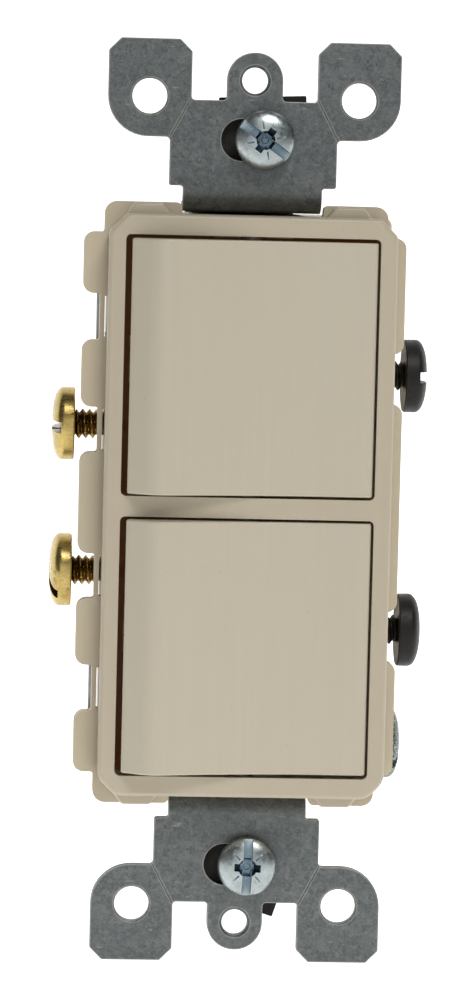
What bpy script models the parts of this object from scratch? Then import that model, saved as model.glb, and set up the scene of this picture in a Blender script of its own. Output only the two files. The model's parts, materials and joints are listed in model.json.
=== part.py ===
"""Double rocker wall switch on a single-gang strap.

Frame: +X to the right, +Y back into the wall, +Z up, in metres. The origin is the middle of the
strap's back plane, which is the plane that rests on the wall box.
"""

import math

import bmesh
import bpy
from mathutils import Matrix

MM = 0.001

# Strap (all lengths in millimetres)
STRAP_LENGTH = 105.9
STRAP_WIDTH = 33.4
STRAP_THICKNESS = 1.2
STRAP_NECK_HALF = 7.95
STRAP_BLOCK_HALF = 9.55
BEND_Z = 35.8
BEND_INNER_RADIUS = 1.2
MOUNT_SCREW_SPACING = 83.3
PLATE_SCREW_SPACING = 96.82
EAR_HOLE_SPACING_X = 23.9
EAR_HOLE_SPACING_Z = 92.8

# Front cover
FACE_Y = -6.8
COVER_WIDTH = 32.7
COVER_HEIGHT = 66.2
COVER_BACK_Y = -3.1
COVER_WALL = 1.5
COVER_SIDE_WALL = 1.2
SIDE_RIM = 2.0
END_RIM = 2.45
MIDDLE_BAR = 2.34

# Rear housing
FLANGE_FRONT_Y = -2.8
FLANGE_THICKNESS = 2.0
LEFT_TAB_X = -19.1
LEFT_RAIL_X = -17.15
RIGHT_TAB_X = 17.65
BODY_HALF_X = 16.1
BODY_HALF_Z = 33.1
BODY_BACK_Y = 24.0
CAVITY_FLOOR_Y = 12.65

# Rockers
ROCKER_TRAVEL_DEG = 15.0
PIVOT_Y = -3.8
TRUNNION_RADIUS = 1.2
ROCKER_LEFT_X = -13.7
ROCKER_RIGHT_X = 14.02
ROCKER_END_GAP = 0.3
FACE_FLAT_X = 8.0
FACE_STRAIGHT_X = -7.0
FACE_SLOPE = 0.26
CREASE_X = -10.6
BEVEL_FOOT = 0.5
BOSS_RADIUS = 3.2
BORE_RADIUS = 2.1
TIP_DISTANCE = 11.2

# Contacts and terminals
ARM_TILT_DEG = 4.0
ARM_FACE_Y = 7.527
ARM_THICKNESS = 0.8
ARM_HALF_LENGTH = 9.5
ARM_WIDTH = 5.4
CONTACT_X = 7.6
TONGUE_Y = (11.35, 12.35)
PLATE_X = (15.0, 16.0)
SCREW_DEPTH_Y = 6.0
BRASS_SCREW_Z = 8.5
BLACK_SCREW_Z = 14.83
GROUND_SCREW_Z = -28.3
GROUND_SCREW_Y = 8.0
GROUND_TAB_X = (15.4, 16.5)
GROUND_TAB_Z = (-32.8, -25.2)
HEAD_RADIUS = 4.25
HEAD_HEIGHT = 2.6
BLACK_HEAD_HEIGHT = 2.7
GROUND_HEAD_RADIUS = 4.2
THREAD_RADIUS = 1.75

OPENING_HALF_X = COVER_WIDTH / 2 - SIDE_RIM
OPENING_INNER_Z = MIDDLE_BAR / 2
OPENING_OUTER_Z = COVER_HEIGHT / 2 - END_RIM
ROCKER_INNER_Z = OPENING_INNER_Z + ROCKER_END_GAP
ROCKER_OUTER_Z = OPENING_OUTER_Z - ROCKER_END_GAP
ROCKER_MID_Z = (ROCKER_INNER_Z + ROCKER_OUTER_Z) / 2
HALF_TRAVEL = math.radians(ROCKER_TRAVEL_DEG / 2)
ARC_STEPS = 4


# Scene and material helpers


def clear_scene():
    for obj in list(bpy.data.objects):
        bpy.data.objects.remove(obj, do_unlink=True)


def make_collection(name):
    collection = bpy.data.collections.new(name)
    bpy.context.scene.collection.children.link(collection)
    return collection


def make_material(name, colour, roughness, metallic=0.0):
    material = bpy.data.materials.new(name)
    material.use_nodes = True
    shader = material.node_tree.nodes["Principled BSDF"]
    shader.inputs["Base Color"].default_value = (*colour, 1.0)
    shader.inputs["Roughness"].default_value = roughness
    shader.inputs["Metallic"].default_value = metallic
    return material


def add_object(name, mesh, material=None):
    """A part of the switch if it has a material, otherwise a cutter."""
    obj = bpy.data.objects.new(name, mesh)
    if material is None:
        CUTTERS.objects.link(obj)
        obj.hide_render = True
        obj.display_type = "WIRE"
    else:
        PARTS.objects.link(obj)
        obj.data.materials.append(material)
    return obj


def add_empty(name, location):
    empty = bpy.data.objects.new(name, None)
    empty.location = [MM * v for v in location]
    PARTS.objects.link(empty)
    return empty


def attach(child, parent):
    """Parents child without moving it; the parent must be unrotated."""
    child.parent = parent
    child.location = child.location - parent.location


def boolean(target, tool, operation, solver="EXACT"):
    modifier = target.modifiers.new(tool.name, "BOOLEAN")
    modifier.operation = operation
    modifier.object = tool
    modifier.solver = solver


def cut(target, *tools):
    for tool in tools:
        boolean(target, tool, "DIFFERENCE")


def join(target, *tools):
    for tool in tools:
        boolean(target, tool, "UNION")


def bevel(obj, width, segments=1, angle=40.0):
    modifier = obj.modifiers.new("Bevel", "BEVEL")
    modifier.width = width * MM
    modifier.segments = segments
    modifier.limit_method = "ANGLE"
    modifier.angle_limit = math.radians(angle)


def smooth(obj, angle=35.0):
    obj.data.shade_smooth()
    obj.data.set_sharp_from_angle(angle=math.radians(angle))


# Shape helpers


def box(name, x, y, z, material=None):
    """A block from its (low, high) span along each axis."""
    spans = [sorted(span) for span in (x, y, z)]
    size = [MM * (high - low) for low, high in spans]
    centre = [MM * (high + low) / 2 for low, high in spans]
    mesh = bpy.data.meshes.new(name)
    bm = bmesh.new()
    bmesh.ops.create_cube(bm, size=1.0, matrix=Matrix.Diagonal((*size, 1.0)))
    bm.to_mesh(mesh)
    bm.free()
    obj = add_object(name, mesh, material)
    obj.location = centre
    return obj


ALONG = {
    "+X": (0.0, math.pi / 2, 0.0),
    "-X": (0.0, -math.pi / 2, 0.0),
    "+Y": (-math.pi / 2, 0.0, 0.0),
    "-Y": (math.pi / 2, 0.0, 0.0),
    "+Z": (0.0, 0.0, 0.0),
}


def cylinder(name, radius, low, high, origin, along, material=None, sides=24):
    """A round bar from low to high along a row direction, measured from origin."""
    mesh = bpy.data.meshes.new(name)
    bm = bmesh.new()
    bmesh.ops.create_cone(
        bm,
        cap_ends=True,
        segments=sides,
        radius1=radius * MM,
        radius2=radius * MM,
        depth=(high - low) * MM,
        matrix=Matrix.Translation((0.0, 0.0, MM * (low + high) / 2)),
    )
    bm.to_mesh(mesh)
    bm.free()
    obj = add_object(name, mesh, material)
    obj.location = [MM * v for v in origin]
    obj.rotation_euler = ALONG[along]
    smooth(obj)
    return obj


def arc(centre, radius, start_deg, end_deg, steps):
    """Points on a circle, both ends included."""
    points = []
    for i in range(steps + 1):
        a = math.radians(start_deg + (end_deg - start_deg) * i / steps)
        points.append((centre[0] + radius * math.cos(a), centre[1] + radius * math.sin(a)))
    return points


def round_corners(corners, steps=ARC_STEPS):
    """A closed outline from (x, y, radius) corners."""
    points = []
    count = len(corners)
    for i, (x, y, radius) in enumerate(corners):
        if radius == 0:
            points.append((x, y))
            continue
        before, after = corners[i - 1], corners[(i + 1) % count]
        into = math.atan2(y - before[1], x - before[0])
        out = math.atan2(after[1] - y, after[0] - x)
        turn = (out - into + math.pi) % (2 * math.pi) - math.pi
        side = math.copysign(1.0, turn)
        reach = radius * math.tan(abs(turn) / 2)
        centre = (
            x - reach * math.cos(into) - side * radius * math.sin(into),
            y - reach * math.sin(into) + side * radius * math.cos(into),
        )
        start = math.degrees(into - side * math.pi / 2)
        points += arc(centre, radius, start, start + math.degrees(turn), steps)
    return points


def rectangle(x, y, radius=0.0):
    (x0, x1), (y0, y1) = sorted(x), sorted(y)
    return round_corners([(x0, y0, radius), (x1, y0, radius), (x1, y1, radius), (x0, y1, radius)])


def stadium(centre, half_length, radius, steps=8):
    """A slot with round ends, running along the outline's first axis."""
    x, y = centre
    right = arc((x + half_length - radius, y), radius, -90, 90, steps)
    left = arc((x - half_length + radius, y), radius, 90, 270, steps)
    return right + left


PLANES = {
    "XZ": ((math.pi / 2, 0.0, 0.0), 1),
    "XY": ((0.0, 0.0, 0.0), 2),
    "YZ": ((math.pi / 2, 0.0, math.pi / 2), 0),
}


def plate(name, loops, plane, span, material=None):
    """A flat outline, with holes as further loops, extruded over span across its plane."""
    low, high = sorted(span)
    curve = bpy.data.curves.new(name + "_outline", "CURVE")
    curve.dimensions = "2D"
    curve.fill_mode = "BOTH"
    curve.extrude = MM * (high - low) / 2
    for loop in loops:
        spline = curve.splines.new("POLY")
        spline.points.add(len(loop) - 1)
        for point, (u, v) in zip(spline.points, loop):
            point.co = (MM * round(u, 4), MM * round(v, 4), 0.0, 1.0)
        spline.use_cyclic_u = True
    guide = add_object(name + "_outline", curve)
    depsgraph = bpy.context.evaluated_depsgraph_get()
    mesh = bpy.data.meshes.new_from_object(guide.evaluated_get(depsgraph))
    mesh.name = name
    bpy.data.objects.remove(guide, do_unlink=True)
    bm = bmesh.new()
    bm.from_mesh(mesh)
    bmesh.ops.remove_doubles(bm, verts=bm.verts, dist=0.005 * MM)
    if len(loops) == 1:
        bmesh.ops.dissolve_limit(bm, angle_limit=0.001, verts=bm.verts, edges=bm.edges)
    bmesh.ops.recalc_face_normals(bm, faces=bm.faces)
    bm.to_mesh(mesh)
    bm.free()
    rotation, across = PLANES[plane]
    obj = add_object(name, mesh, material)
    obj.rotation_euler = rotation
    obj.location[across] = MM * (low + high) / 2
    return obj


def turned(name, profile, origin, along, material, steps=28):
    """A turned piece from (radius, height) points, top to bottom."""
    mesh = bpy.data.meshes.new(name)
    bm = bmesh.new()
    verts = [bm.verts.new((MM * r, 0.0, MM * h)) for r, h in profile]
    for a, b in zip(verts, verts[1:]):
        bm.edges.new((a, b))
    bm.to_mesh(mesh)
    bm.free()
    obj = add_object(name, mesh, material)
    screw = obj.modifiers.new("Turn", "SCREW")
    screw.axis = "Z"
    screw.angle = 2 * math.pi
    screw.steps = steps
    screw.render_steps = steps
    screw.use_merge_vertices = True
    screw.merge_threshold = 0.002 * MM
    screw.use_smooth_shade = True
    obj.location = [MM * v for v in origin]
    obj.rotation_euler = ALONG.get(along, along)
    return obj


# Mounting strap


def strap_outline():
    """Front view of the whole strap: two end plates with ears, the neck, and the arm of the ground tab."""
    ear_outer = STRAP_WIDTH / 2
    ear_inner = 7.2
    end = STRAP_LENGTH / 2
    chamfer = 1.4
    tab = 3.2
    top_right = [
        (STRAP_NECK_HALF, 36.3, 0.3),
        (STRAP_BLOCK_HALF, 36.3, 0.3),
        (STRAP_BLOCK_HALF, 41.8, 0.5),
        (ear_outer, 41.8, 4.6),
        (ear_outer, end - chamfer, 0),
        (ear_outer - chamfer, end, 0),
        (ear_inner + chamfer, end, 0),
        (ear_inner, end - chamfer, 0),
        (ear_inner, 46.1, 0.4),
        (tab, 46.1, 0.4),
        (tab, 51.6, tab - 0.05),
    ]
    top_left = [(-x, z, r) for x, z, r in reversed(top_right)]
    bottom_left = [(-x, -z, r) for x, z, r in top_right]
    bottom_right = [(x, -z, r) for x, z, r in reversed(top_right)]
    low, high = GROUND_TAB_Z
    arm = [(STRAP_NECK_HALF, low, 0.5), (GROUND_TAB_X[1] - 0.3, low, 0), (GROUND_TAB_X[1] - 0.3, high, 0),
           (STRAP_NECK_HALF, high, 0.5)]
    return round_corners(top_right + top_left + bottom_left + bottom_right + arm, 5)


def strap_holes():
    holes = []
    for sign in (1, -1):
        ear_z = sign * EAR_HOLE_SPACING_Z / 2
        for x in (-EAR_HOLE_SPACING_X / 2, EAR_HOLE_SPACING_X / 2):
            holes.append(arc((x, ear_z), 2.0, 0, 345, 23))
        holes.append(arc((0.0, sign * PLATE_SCREW_SPACING / 2), 1.48, 0, 342, 19))
        holes.append(stadium((0.0, sign * MOUNT_SCREW_SPACING / 2), 3.75, 2.4))
    return holes


def strap_channel_outline():
    """Side profile of the folded sheet: front flats, bends, legs and the back bridge."""
    t = STRAP_THICKNESS
    inner = BEND_INNER_RADIUS
    leg = BEND_Z - inner
    back = BODY_BACK_Y + 0.3
    end = STRAP_LENGTH / 2 + 1.0
    inside = [(0.0, end, 0), (-t, end, 0), (-t, leg - t, inner + t), (back, leg - t, 0)]
    outside = [(back + t, leg, 1.1), (0.0, leg, inner)]
    inside += [(y, -z, r) for y, z, r in reversed(inside)]
    outside = [(y, -z, r) for y, z, r in reversed(outside)] + outside
    return round_corners(inside + outside, 6)


def make_strap():
    strap = plate("mounting_strap", [strap_channel_outline()], "YZ", (-20.0, 20.0), STEEL)
    outline = plate("strap_front_view", [strap_outline()] + strap_holes(), "XZ", (-5.0, 40.0))
    boolean(strap, outline, "INTERSECT")
    low, high = GROUND_TAB_Z
    join(strap, box("ground_tab", GROUND_TAB_X, (3.4, BODY_BACK_Y + 1.2), (low + 0.2, high - 0.2)))
    cut(strap, cylinder("ground_tab_hole", 1.95, -2.0, 2.0,
                        (GROUND_TAB_X[1], GROUND_SCREW_Y, GROUND_SCREW_Z), "+X"))
    smooth(strap, 25)
    return strap


# Front cover


def make_cover():
    half_x, half_z = COVER_WIDTH / 2, COVER_HEIGHT / 2
    c, r = 2.0, 1.8
    outline = round_corners([
        (half_x, -half_z + c, r), (half_x, half_z - c, r),
        (half_x - c, half_z, r), (-half_x + c, half_z, r),
        (-half_x, half_z - c, r), (-half_x, -half_z + c, r),
        (-half_x + c, -half_z, r), (half_x - c, -half_z, r),
    ], 3)
    cover = plate("front_cover", [outline], "XZ", (FACE_Y, COVER_BACK_Y), CREAM)
    bevel(cover, 0.35, 2)
    for i, (x, sign) in enumerate([(-11.9, 1), (10.9, 1), (-11.9, -1), (10.9, -1)]):
        latch = [(x - 3.3, sign * (half_z - 0.9)), (x + 3.3, sign * (half_z - 0.9)),
                 (x + 1.6, sign * 34.3), (x - 1.6, sign * 34.3)]
        join(cover, plate(f"cover_latch_{i}", [latch], "XZ", (-5.1, COVER_BACK_Y - 0.45)))
    inside_x = half_x - COVER_SIDE_WALL
    inside_z = half_z - COVER_SIDE_WALL
    cut(cover, box("cover_inside", (-inside_x, inside_x), (FACE_Y + COVER_WALL, 0), (-inside_z, inside_z)))
    for label, sign in (("upper", 1), ("lower", -1)):
        hole = rectangle((-OPENING_HALF_X, OPENING_HALF_X),
                         (sign * OPENING_INNER_Z, sign * OPENING_OUTER_Z), 0.6)
        cut(cover, plate("cover_opening_" + label, [hole], "XZ", (FACE_Y - 1, FACE_Y + 3)))
    return cover


# Rear housing


def flange_outline():
    """Front flange, with the barrier tabs that stand out beyond the cover."""
    corner_z, neck_x, right_x = 34.4, 8.05, 15.5
    half = BODY_HALF_Z
    r = 1.2
    left = []
    for low, high in ((-30.9, -23.9), (-18.6, -10.95), (-5.8, 5.8), (10.95, 18.6), (23.9, 30.9)):
        left += [(LEFT_RAIL_X, low, 0.3), (LEFT_TAB_X, low, r), (LEFT_TAB_X, high, r), (LEFT_RAIL_X, high, 0.3)]
    left[0] = (-16.4, -30.9, 0.3)
    left[-1] = (-16.4, 30.9, 0.3)
    right = []
    for low, high in ((17.65, 30.9), (-11.95, 11.95), (-30.9, -17.65)):
        right += [(16.35, high, 0.3), (RIGHT_TAB_X, high, r), (RIGHT_TAB_X, low, r), (16.35, low, 0.3)]
    right[0] = (right_x, 30.9, 0.3)
    right[-1] = (right_x, -30.9, 0.3)
    top = [(-16.4, corner_z, 1.4), (-neck_x, corner_z, 0.6), (-neck_x, half, 0.3),
           (neck_x, half, 0.3), (neck_x, corner_z, 0.6), (right_x, corner_z, 1.4)]
    bottom = [(x, -z, rr) for x, z, rr in reversed(top)]
    return round_corners(left + top + right + bottom, 3)


def make_housing():
    flange_back = FLANGE_FRONT_Y + FLANGE_THICKNESS
    housing = box("rear_housing", (-BODY_HALF_X, BODY_HALF_X), (flange_back - 0.5, BODY_BACK_Y),
                  (-BODY_HALF_Z, BODY_HALF_Z), HOUSING_CREAM)
    bevel(housing, 0.8, 2)
    slits = [rectangle((-16.6, -16.35), (sign * low, sign * high))
             for sign in (1, -1) for low, high in ((6.0, 10.7), (18.9, 23.6))]
    flange = plate("housing_flange", [flange_outline()] + slits, "XZ", (FLANGE_FRONT_Y, flange_back))
    boolean(housing, flange, "UNION", "MANIFOLD")
    saddle_x = 4.5
    join(housing, box("saddle_middle", (-saddle_x, saddle_x), (-5.0, 0.0), (-1.1, 1.1)))
    for label, sign in (("upper", 1), ("lower", -1)):
        join(housing, box("saddle_" + label, (-saddle_x, saddle_x), (-5.0, 0.0), (sign * 30.6, sign * 31.7)))
    for label, sign in (("upper", 1), ("lower", -1)):
        side = [sign * 1.1, sign * 30.6]
        cut(housing,
            box("well_" + label, (-14.3, 14.3), (-4.0, 4.0), side),
            box("chamber_" + label, (-13.5, 13.5), (3.0, CAVITY_FLOOR_Y), side))
        notch = box("notch_" + label, (-1.4, 1.4), (-6.0, PIVOT_Y + 1.35), (sign * 0.5, sign * 31.5))
        cut(housing, notch)
    cut_terminal_pockets(housing)
    cut_wire_holes(housing)
    cut(housing, box("ground_recess", (15.1, 18.0), (3.0, BODY_BACK_Y + 1), (-34.0, -24.9)),
        cylinder("ground_screw_hole", 2.2, -8.0, 2.0, (15.5, GROUND_SCREW_Y, GROUND_SCREW_Z), "+X"))
    return housing


def cut_terminal_pockets(housing):
    """Recesses for the terminal plates, slots for their tongues and holes for their screws."""
    margin = 0.3
    pocket = PLATE_X[0] - margin
    slot_y = (TONGUE_Y[0] - margin, CAVITY_FLOOR_Y)
    for label, sign in (("upper", 1), ("lower", -1)):
        z = (sign * 3.9, sign * 19.0)
        cut(housing,
            box("brass_pocket_" + label, (-17.0, -pocket), (1.7, CAVITY_FLOOR_Y), z),
            box("brass_slot_" + label, (-17.0, -12.0), slot_y, (sign * 12.7, sign * 19.0)),
            box("common_slot_" + label, (12.0, 17.0), slot_y, (sign * 12.7, sign * 19.0)),
            box("clip_slot_" + label, (-17.0, -15.6), (1.7, 5.6), (sign * 24.2, sign * 26.6)),
            cylinder("brass_hole_" + label, 2.1, 0.0, 6.0,
                     (-17.5, SCREW_DEPTH_Y, sign * BRASS_SCREW_Z), "+X"),
            cylinder("black_hole_" + label, 2.1, 0.0, 6.0,
                     (17.5, SCREW_DEPTH_Y, sign * BLACK_SCREW_Z), "-X"))
    cut(housing, box("common_pocket", (pocket, 17.0), (1.7, CAVITY_FLOOR_Y), (-19.0, 19.0)))


def cut_wire_holes(housing):
    """Push-in wire holes and release slots in the back, two beside each terminal."""
    for i, (x, z) in enumerate([(x, z) for x in (-12.2, 12.2) for z in (-19.5, -12.0, 12.0, 19.5)]):
        cut(housing, cylinder(f"wire_hole_{i}", 1.3, -9.0, 1.0, (x, BODY_BACK_Y, z), "+Y", sides=14))
    for i, (x, z) in enumerate([(x, z) for x in (-12.2, 12.2) for z in (-15.75, 15.75)]):
        cut(housing, box(f"release_slot_{i}", (x - 0.7, x + 0.7), (BODY_BACK_Y - 6.0, BODY_BACK_Y + 1),
                         (z - 1.4, z + 1.4)))


# Rockers


def face_height(x):
    """Height of the rocker's face above the cover's face, as it rests with its right end pressed."""
    run = FACE_FLAT_X - FACE_STRAIGHT_X
    if x >= FACE_FLAT_X:
        return 0.0
    if x >= FACE_STRAIGHT_X:
        return FACE_SLOPE * (FACE_FLAT_X - x) ** 2 / (2 * run)
    return FACE_SLOPE * run / 2 + FACE_SLOPE * (FACE_STRAIGHT_X - x)


def rocker_outlines():
    """Outer and inner side profiles as (x, y), with the rocker at rest."""
    pivot = -PIVOT_Y + FACE_Y
    samples = [FACE_FLAT_X - (FACE_FLAT_X - FACE_STRAIGHT_X) * i / 9 for i in range(10)]
    outer = [(ROCKER_RIGHT_X, 0.0, 0.3)]
    outer += [(x, face_height(x), 0) for x in samples]
    outer += [(CREASE_X, face_height(CREASE_X), 1.6), (ROCKER_LEFT_X, BEVEL_FOOT, 0.5)]
    skirt = math.hypot(ROCKER_LEFT_X, BEVEL_FOOT - pivot)
    outer += [(x, h, 0) for x, h in arc((0.0, pivot), skirt, 172, 194, 3)]
    outer += [(-12.5, pivot - 3.4, 0), (-6.0, pivot - 2.2, 0), (6.0, pivot - 2.2, 0), (11.8, pivot - 5.0, 0)]
    outer += [(x, h, 0) for x, h in arc((0.0, pivot), 14.0, -21, 0, 3)]
    wall = 1.3
    low = pivot - 8.0
    inner = [(ROCKER_RIGHT_X - wall, low, 0), (ROCKER_RIGHT_X - wall, -wall, 0)]
    inner += [(x, face_height(x) - wall, 0) for x in samples]
    inner += [(CREASE_X + 0.3, face_height(CREASE_X) - wall, 0), (ROCKER_LEFT_X + wall, BEVEL_FOOT - 0.9, 0)]
    inner += [(ROCKER_LEFT_X + wall, low, 0)]
    return [[(x, FACE_Y - h) for x, h in round_corners(loop, 3)] for loop in (outer, inner)]


BOSS_TURN = (-math.pi / 2, 0.0, HALF_TRAVEL)


def make_rocker(label, sign):
    """One rocker with its spring and plunger, on an empty at the tilt axis."""
    mid = sign * ROCKER_MID_Z
    z = sorted((sign * ROCKER_INNER_Z, sign * ROCKER_OUTER_Z))
    origin = (0.0, PIVOT_Y, mid)
    outer, inner = rocker_outlines()
    rocker = plate("rocker_" + label, [outer], "XY", z, CREAM)
    wall = 1.2
    cut(rocker, plate(f"rocker_{label}_inside", [inner], "XY", (z[0] + wall, z[1] - wall)))
    boss = cylinder(f"boss_{label}", BOSS_RADIUS, -2.6, 6.8, origin, "+Y")
    boss.rotation_euler = BOSS_TURN
    bore = cylinder(f"bore_{label}", BORE_RADIUS, 0.5, 9.0, origin, "+Y")
    bore.rotation_euler = BOSS_TURN
    join(rocker, boss)
    cut(rocker, bore)
    for end, outward in ((z[0], -1), (z[1], 1)):
        reach = 0.75 if abs(end) < ROCKER_MID_Z else 1.0
        span = sorted((end - outward * 0.6, end + outward * reach))
        join(rocker, cylinder(f"trunnion_{label}_{outward}", TRUNNION_RADIUS, span[0], span[1],
                              (0.0, PIVOT_Y, 0.0), "+Z", sides=20))
    smooth(rocker, 25)
    tip = 1.2
    plunger = turned("plunger_" + label,
                     [(r, h) for r, h in arc((0.0, TIP_DISTANCE - tip), tip, 90, 0, 5)]
                     + [(1.8, TIP_DISTANCE - 2.2), (1.8, 3.9), (0.0, 3.9)],
                     origin, BOSS_TURN, NYLON, 20)
    spring = make_spring("rocker_spring_" + label, origin)
    pivot = add_empty(f"rocker_{label}_pivot", origin)
    for part in (rocker, plunger, spring):
        attach(part, pivot)


def make_spring(name, origin):
    """A closed-end coil spring inside the boss."""
    low, high, radius, turns, per_turn = 1.0, 3.45, 1.4, 3.5, 10
    count = int(turns * per_turn)
    curve = bpy.data.curves.new(name, "CURVE")
    curve.dimensions = "3D"
    curve.bevel_depth = 0.2 * MM
    curve.bevel_resolution = 1
    curve.use_fill_caps = True
    spline = curve.splines.new("POLY")
    spline.points.add(count)
    for i, point in enumerate(spline.points):
        a = 2 * math.pi * turns * i / count
        h = low + (high - low) * i / count
        point.co = (MM * radius * math.cos(a), MM * radius * math.sin(a), MM * h, 1.0)
    spring = add_object(name, curve, SPRING_STEEL)
    spring.location = [MM * v for v in origin]
    spring.rotation_euler = BOSS_TURN
    return spring


# Contacts and terminals


def make_contact_arm(label, sign):
    """Seesaw arm on its fulcrum, resting with its contact end lifted off."""
    mid = sign * ROCKER_MID_Z
    back = ARM_THICKNESS
    fulcrum_y = ARM_FACE_Y + back + 0.3
    pivot = add_empty(f"contact_arm_{label}_pivot", (0.0, fulcrum_y, mid))
    half_z = ARM_WIDTH / 2
    outline = [
        (-ARM_HALF_LENGTH, -half_z, 0.8), (-1.5, -half_z, 0), (-1.5, -half_z - 0.9, 0.3),
        (1.5, -half_z - 0.9, 0.3), (1.5, -half_z, 0), (ARM_HALF_LENGTH, -half_z, 2.0),
        (ARM_HALF_LENGTH, half_z, 2.0), (1.5, half_z, 0), (1.5, half_z + 0.9, 0.3),
        (-1.5, half_z + 0.9, 0.3), (-1.5, half_z, 0), (-ARM_HALF_LENGTH, half_z, 0.8),
    ]
    arm = plate("contact_arm_" + label, [round_corners(outline, 3)], "XZ", (-0.3 - back, -0.3), BRASS)
    button = turned("moving_contact_" + label,
                    [(0.0, 1.0), (1.1, 0.95), (1.6, 0.6), (1.6, 0.0), (0.0, 0.0)],
                    (CONTACT_X, -0.1, 0.0), "+Y", SILVER, 20)
    pivot.rotation_euler[2] = -math.radians(ARM_TILT_DEG)
    for part in (arm, button):
        part.parent = pivot


def make_brass_terminal(label, sign):
    """Side plate with a tongue under the arm and the fulcrum blade that the arm rocks on."""
    x0, x1 = -PLATE_X[1], -PLATE_X[0]
    z = (sign * 13.1, sign * 18.6)
    terminal = box("brass_terminal_" + label, (x0, x1), (2.0, TONGUE_Y[1]), (sign * 4.3, sign * 18.6), BRASS)
    join(terminal,
         box(f"brass_tongue_{label}", (x0 + 0.3, 0.6), TONGUE_Y, z),
         box(f"fulcrum_{label}", (-0.6, 0.6), (ARM_FACE_Y + ARM_THICKNESS + 0.45, TONGUE_Y[1] - 0.2), z))
    cut(terminal, cylinder(f"brass_thread_{label}", 1.95, -2.0, 2.0,
                           (x1, SCREW_DEPTH_Y, sign * BRASS_SCREW_Z), "+X"))


def make_clip(label, sign):
    """Push-in clip: a thin spring-steel strip standing in the housing's side window."""
    clip = box("wire_clip_" + label, (-17.4, -17.1), (1.2, 3.9), (sign * 18.0, sign * 26.2), SPRING_STEEL)
    join(clip, box(f"clip_foot_{label}", (-17.3, -15.9), (3.6, 4.0), (sign * 24.6, sign * 26.1)))


def make_common_bar():
    """Plate that joins the two black screws, with its break-off fin and a tongue to each fixed contact."""
    x0, x1 = PLATE_X
    bar = box("common_terminal_bar", (x0, x1), (2.0, TONGUE_Y[1]), (8.0, 18.6), BRASS)
    join(bar, box("common_lower", (x0, x1), (2.0, TONGUE_Y[1]), (-18.6, -8.0)),
         box("common_fin", (x0 + 0.1, x1 - 0.1), (3.4, 7.4), (-8.2, 8.2)))
    for label, sign in (("upper", 1), ("lower", -1)):
        join(bar, box("common_tongue_" + label, (5.0, x1 - 0.3), TONGUE_Y, (sign * 13.1, sign * 18.6)))
        cut(bar, cylinder("common_thread_" + label, 1.95, -2.0, 2.0,
                          (x0, SCREW_DEPTH_Y, sign * BLACK_SCREW_Z), "+X"))


def make_fixed_contact(label, sign):
    turned("fixed_contact_" + label,
           [(0.0, 1.0), (1.3, 0.95), (1.8, 0.6), (1.8, 0.0), (0.0, 0.0)],
           (CONTACT_X, TONGUE_Y[0] - 0.15, sign * ROCKER_MID_Z), "-Y", SILVER, 20)


# Screws


def head_profile(radius, height):
    """Side of a binding head, from the middle of its crown down to its rim."""
    return [(0.0, height), (radius * 0.45, height * 0.97), (radius * 0.75, height * 0.88),
            (radius * 0.9, height * 0.77), (radius, 0.12 * height), (radius, 0.0)]


def make_screw(name, radius, height, length, origin, along, material, slot_turn_deg):
    """A slotted screw whose head's underside is at origin and whose crown points along."""
    profile = head_profile(radius, height)
    profile += [(THREAD_RADIUS, 0.0), (THREAD_RADIUS, 0.5 - length), (THREAD_RADIUS - 0.5, -length), (0.0, -length)]
    screw = turned(name, profile, origin, along, material)
    slot = box(name + "_slot", (-radius - 1, radius + 1), (-0.6, 0.6), (height - 1.0, height + 1.0))
    slot.location = screw.location
    slot.rotation_euler = screw.rotation_euler
    slot.data.transform(
        Matrix.Rotation(math.radians(slot_turn_deg), 4, "Z") @ Matrix.Translation((0.0, 0.0, height * MM))
    )
    cut(screw, slot)
    return screw


def make_terminal_screws():
    for label, sign in (("upper", 1), ("lower", -1)):
        make_screw("terminal_screw_brass_" + label, HEAD_RADIUS, HEAD_HEIGHT, 5.6,
                   (-19.6, SCREW_DEPTH_Y, sign * BRASS_SCREW_Z), "-X", BRASS, 84 if sign > 0 else 50)
        make_screw("terminal_screw_black_" + label, HEAD_RADIUS, BLACK_HEAD_HEIGHT, 5.6,
                   (18.5, SCREW_DEPTH_Y, sign * BLACK_SCREW_Z), "+X", BLACK_OXIDE, 90 if sign > 0 else 0)
    make_screw("ground_screw", GROUND_HEAD_RADIUS, BLACK_HEAD_HEIGHT, 5.0,
               (GROUND_TAB_X[1] + 0.15, GROUND_SCREW_Y, GROUND_SCREW_Z), "+X", GREEN, 30)


def make_mounting_screws():
    """Captive screws that stand a little proud of the strap, each held by a square washer behind it."""
    x = 1.2
    for label, sign, washer_turn, slot_turn in (("top", 1, -2.4, 35), ("bottom", -1, 18.0, 88)):
        z = sign * MOUNT_SCREW_SPACING / 2
        make_screw("mounting_screw_" + label, 3.4, 1.9, 25.4, (x, -2.1, z), "-Y", ZINC, slot_turn)
        half = 5.0
        loops = [rectangle((-half, half), (-half, half), 0.2), arc((0.0, 0.0), 1.9, 0, 342, 19)]
        washer = plate("screw_retainer_" + label, loops, "XZ", (0.3, 1.1), BLACK_FIBRE)
        washer.location = (x * MM, washer.location[1], z * MM)
        washer.rotation_euler = (math.pi / 2, math.radians(washer_turn), 0.0)


clear_scene()
PARTS = make_collection("rocker_wall_switch")
CUTTERS = make_collection("cutters")

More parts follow.
